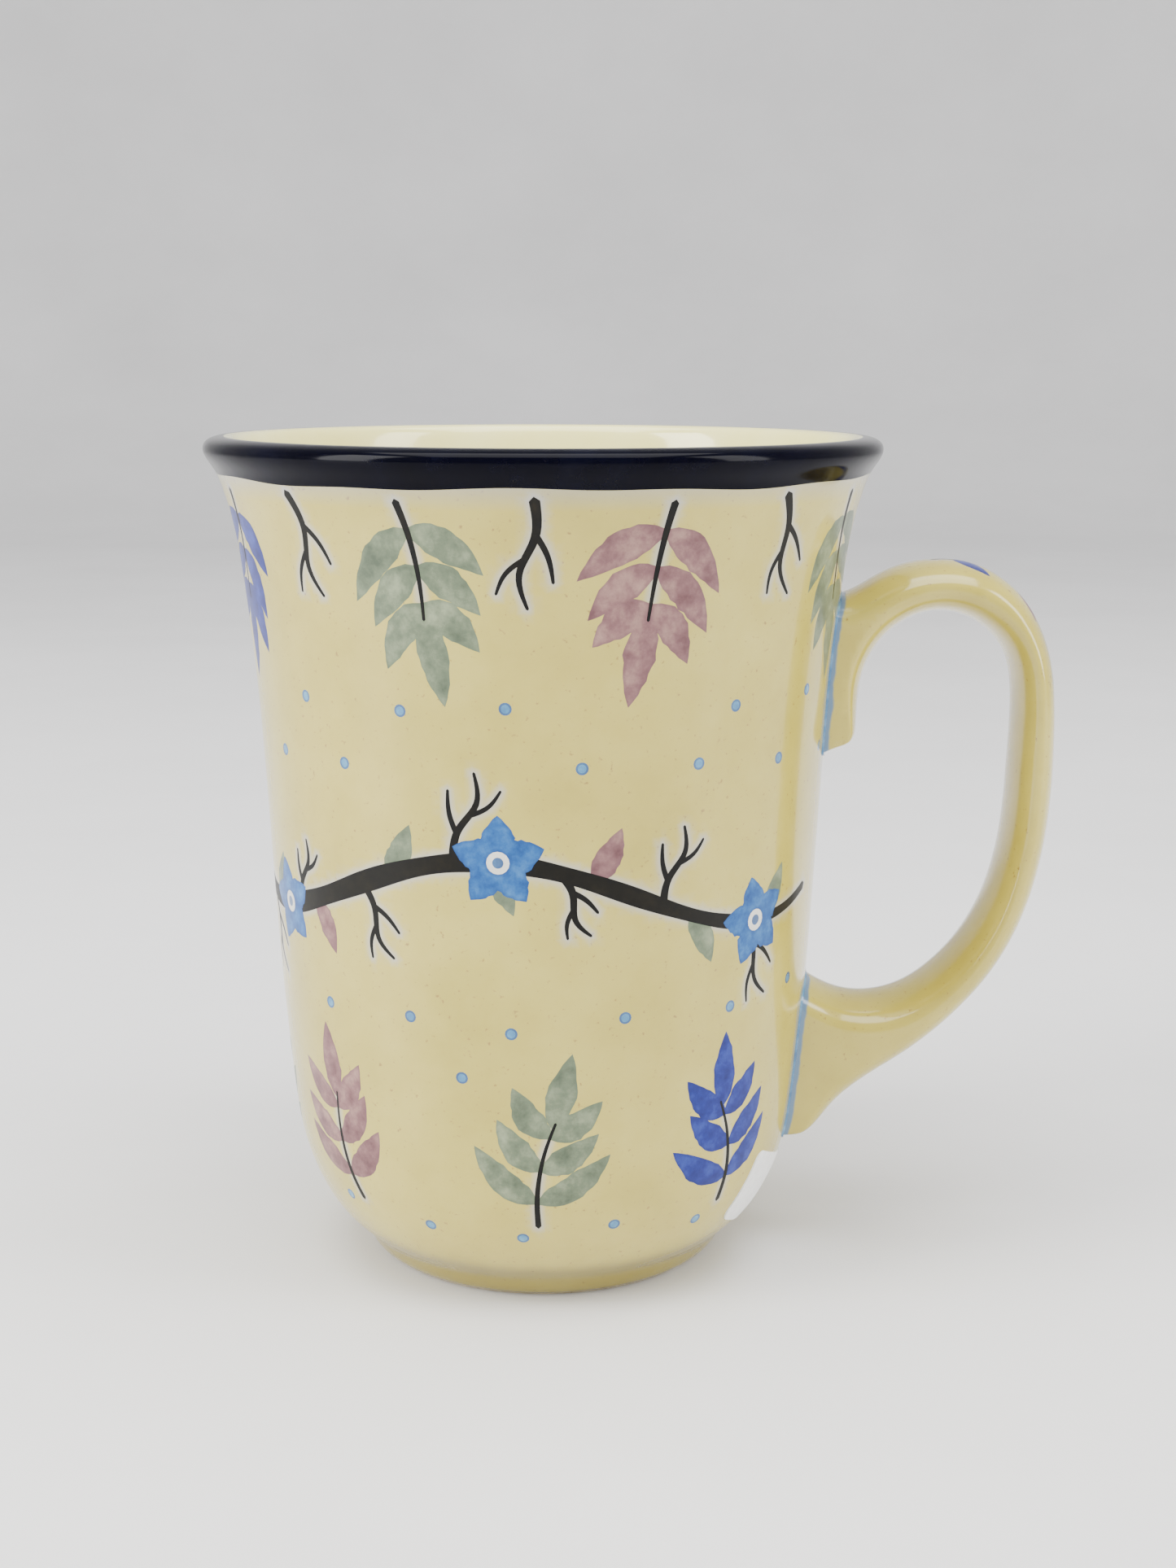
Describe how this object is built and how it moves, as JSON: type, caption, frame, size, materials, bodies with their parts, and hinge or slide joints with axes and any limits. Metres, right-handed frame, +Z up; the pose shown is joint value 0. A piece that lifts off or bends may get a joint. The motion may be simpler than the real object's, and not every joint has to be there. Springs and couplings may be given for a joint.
{
  "type": "stoneware mug",
  "caption": "Hand-thrown stoneware mug with a flared dark-banded lip, a pulled strap handle with a spurred upper root and a narrow ring foot.",
  "frame": {"origin": "centre of the foot ring, on the plane that the mug stands on", "axes": "+Z up along the mug's axis, +X towards the handle, +Y away from the painted side seen with the handle on the right"},
  "size_m": [0.1225, 0.0964, 0.12],
  "materials": {
    "bare_clay": "matte fired stoneware",
    "joint_slip": "glossy blue slip",
    "cream_glaze": "glossy cream stoneware glaze",
    "inner_glaze": "glossy pale cream glaze",
    "navy_glaze": "glossy near-black navy glaze",
    "sticker_paper": "smooth white paper"
  },
  "bodies": {
    "root": {"clay_body": "bare_clay", "clay_handle": "bare_clay", "upper_slip_joint": "joint_slip", "lower_slip_joint": "joint_slip", "outer_glaze": "cream_glaze", "inner_glaze": "inner_glaze", "rim_band": "navy_glaze", "handle_glaze": "cream_glaze", "base_sticker": "sticker_paper"}
  },
  "joints": []
}
